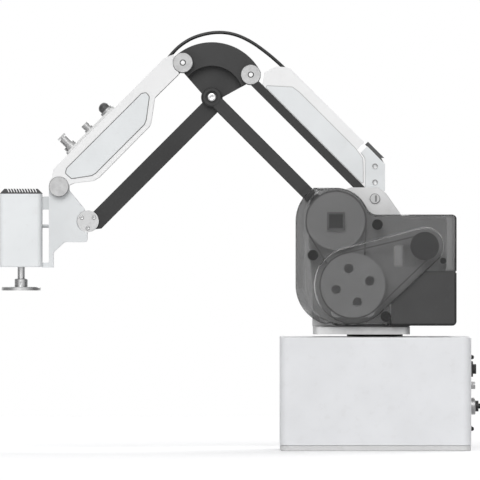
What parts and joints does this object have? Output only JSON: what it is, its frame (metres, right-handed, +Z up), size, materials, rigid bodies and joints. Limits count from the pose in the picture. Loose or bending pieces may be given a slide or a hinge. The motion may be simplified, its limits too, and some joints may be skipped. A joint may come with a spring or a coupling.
{
  "type": "four-axis robot arm",
  "caption": "Desktop robot arm: square base, slewing turret with belt drives under smoked covers, parallel-linkage arms that keep the wrist level, upright tool head and round tool flange.",
  "frame": {"origin": "centre of the base's underside, on the slew axis", "axes": "+X forward along the arm's reach, +Z up, +Y to the arm's left; the arm lies in the XZ plane at rest"},
  "size_m": [0.4837, 0.19, 0.419],
  "materials": {
    "white_plastic": "satin",
    "white_metal": "satin",
    "base_metal": "satin",
    "dark_plastic": "satin",
    "smoked_cover": "glossy",
    "aluminium": "satin",
    "black_metal": "satin",
    "grey_metal": "satin",
    "steel": "satin",
    "motor": "matte",
    "belt_rubber": "matte",
    "supply": "matte",
    "board": "satin"
  },
  "bodies": {
    "base": {"base_housing": "white_plastic", "base_bottom_plate": "base_metal", "base_io_connector": "dark_plastic", "base_round_connectors": "steel", "base_air_coupler": "dark_plastic", "slew_bearing": "steel", "slew_motor": "motor", "slew_belt": "belt_rubber", "power_supply": "supply", "control_board": "board"},
    "slew_motor_rotor": {"slew_motor_pulley": "steel"},
    "turret": {"slew_column": "aluminium", "slew_ring": "black_metal", "turntable_plate": "aluminium", "turret_frame": "aluminium", "turret_bearings": "steel", "left_drive_cover": "smoked_cover", "right_drive_cover": "smoked_cover", "belt_covers": "smoked_cover", "turret_rear_box": "dark_plastic", "turret_rear_cover": "smoked_cover", "cover_posts": "steel", "joint_motors": "motor", "drive_belts": "belt_rubber", "tie_foot_pins": "steel"},
    "shoulder_motor_rotor": {"shoulder_motor_pulley": "steel"},
    "elbow_motor_rotor": {"elbow_motor_pulley": "steel"},
    "shoulder_reducer": {"shoulder_reducer_pulley": "aluminium"},
    "elbow_reducer": {"elbow_reducer_pulley": "aluminium"},
    "elbow_drive": {"elbow_drive_pulley": "aluminium"},
    "rear_arm": {"shoulder_pulley": "aluminium", "left_rear_link": "black_metal", "right_rear_link": "black_metal", "rear_link_pins": "steel", "forearm_drive_belt": "belt_rubber"},
    "elbow": {"elbow_sector": "grey_metal", "crank_pins": "steel", "elbow_cable": "belt_rubber"},
    "rear_tie": {"rear_tie_bars": "black_metal", "rear_arm_cover": "white_plastic", "rear_cover_panels": "white_plastic", "rear_end_bracket": "aluminium", "rear_cover_strip": "dark_plastic"},
    "forearm": {"forearm_link": "black_metal", "wrist_caps": "aluminium"},
    "forearm_tie": {"forearm_tie_bars": "aluminium", "forearm_cover": "white_plastic", "forearm_cover_panels": "white_plastic", "connector_plate": "aluminium", "air_connector": "steel", "signal_connector": "dark_plastic"},
    "button": {"release_button": "dark_plastic"},
    "wrist": {"wrist_bracket": "white_metal", "wrist_tie_pin": "steel", "head_standoff": "aluminium", "head_housing": "white_plastic", "head_vent_cap": "dark_plastic", "tool_motor": "motor"},
    "tool": {"output_shaft": "steel", "tool_flange": "aluminium"}
  },
  "joints": [
    {"name": "base_slew", "type": "hinge", "parent": "base", "child": "turret", "pos_m": [0, 0, 0.1154], "axis": [0, 0, 1], "range_deg": [-160, 160]},
    {"name": "slew_motor_turn", "type": "hinge", "parent": "base", "child": "slew_motor_rotor", "pos_m": [0.062, 0, 0.09], "axis": [0, 0, 1], "range_deg": [-640, 640]},
    {"name": "shoulder_pitch", "type": "hinge", "parent": "turret", "child": "rear_arm", "pos_m": [0.0392, 0, 0.2284], "axis": [0, 1, 0], "range_deg": [-45, 40]},
    {"name": "shoulder_reducer_turn", "type": "hinge", "parent": "turret", "child": "shoulder_reducer", "pos_m": [0.0222, 0, 0.1645], "axis": [0, 1, 0], "range_deg": [-135, 120]},
    {"name": "shoulder_motor_turn", "type": "hinge", "parent": "turret", "child": "shoulder_motor_rotor", "pos_m": [-0.0492, 0, 0.2036], "axis": [0, 1, 0], "range_deg": [-405, 360]},
    {"name": "elbow_level", "type": "hinge", "parent": "rear_arm", "child": "elbow", "pos_m": [0.16294, 0, 0.35214], "axis": [0, 1, 0], "range_deg": [-40, 45]},
    {"name": "rear_tie_swing", "type": "hinge", "parent": "elbow", "child": "rear_tie", "pos_m": [0.12397, 0, 0.37464], "axis": [0, 1, 0], "range_deg": [-45, 40], "deforming": ["elbow_cable"]},
    {"name": "forearm_pitch", "type": "hinge", "parent": "elbow", "child": "forearm", "pos_m": [0.16294, 0, 0.35214], "axis": [0, 1, 0], "range_deg": [-70, 25]},
    {"name": "elbow_drive_turn", "type": "hinge", "parent": "turret", "child": "elbow_drive", "pos_m": [0.0392, 0, 0.2284], "axis": [0, 1, 0], "range_deg": [-70, 25]},
    {"name": "elbow_reducer_turn", "type": "hinge", "parent": "turret", "child": "elbow_reducer", "pos_m": [0.0222, 0, 0.1645], "axis": [0, 1, 0], "range_deg": [-210, 75]},
    {"name": "elbow_motor_turn", "type": "hinge", "parent": "turret", "child": "elbow_motor_rotor", "pos_m": [-0.0492, 0, 0.2036], "axis": [0, 1, 0], "range_deg": [-630, 225]},
    {"name": "forearm_tie_swing", "type": "hinge", "parent": "elbow", "child": "forearm_tie", "pos_m": [0.19187, 0, 0.38662], "axis": [0, 1, 0], "range_deg": [-70, 25], "deforming": ["elbow_cable"]},
    {"name": "wrist_level", "type": "hinge", "parent": "forearm", "child": "wrist", "pos_m": [0.28669, 0, 0.2284], "axis": [0, 1, 0], "range_deg": [-25, 70]},
    {"name": "tool_rotation", "type": "hinge", "parent": "wrist", "child": "tool", "pos_m": [0.35359, 0, 0.1592], "axis": [0, 0, 1], "range_deg": [-360, 360]},
    {"name": "release_button_press", "type": "slide", "parent": "forearm_tie", "child": "button", "axis": [-0.7071, 0, -0.7071], "range_m": [0, 0.0015], "stiffness_N_per_m": 600, "springref_m": -0.0005}
  ],
  "couplings": [
    {"joint": "slew_motor_turn", "follows": "base_slew", "ratio": 4},
    {"joint": "shoulder_reducer_turn", "follows": "shoulder_pitch", "ratio": 3},
    {"joint": "shoulder_motor_turn", "follows": "shoulder_pitch", "ratio": 9},
    {"joint": "rear_tie_swing", "follows": "shoulder_pitch", "ratio": 1},
    {"joint": "elbow_level", "follows": "shoulder_pitch", "ratio": -1},
    {"joint": "elbow_drive_turn", "follows": "forearm_pitch", "ratio": 1},
    {"joint": "elbow_reducer_turn", "follows": "forearm_pitch", "ratio": 3},
    {"joint": "elbow_motor_turn", "follows": "forearm_pitch", "ratio": 9},
    {"joint": "forearm_tie_swing", "follows": "forearm_pitch", "ratio": 1},
    {"joint": "wrist_level", "follows": "forearm_pitch", "ratio": -1}
  ]
}
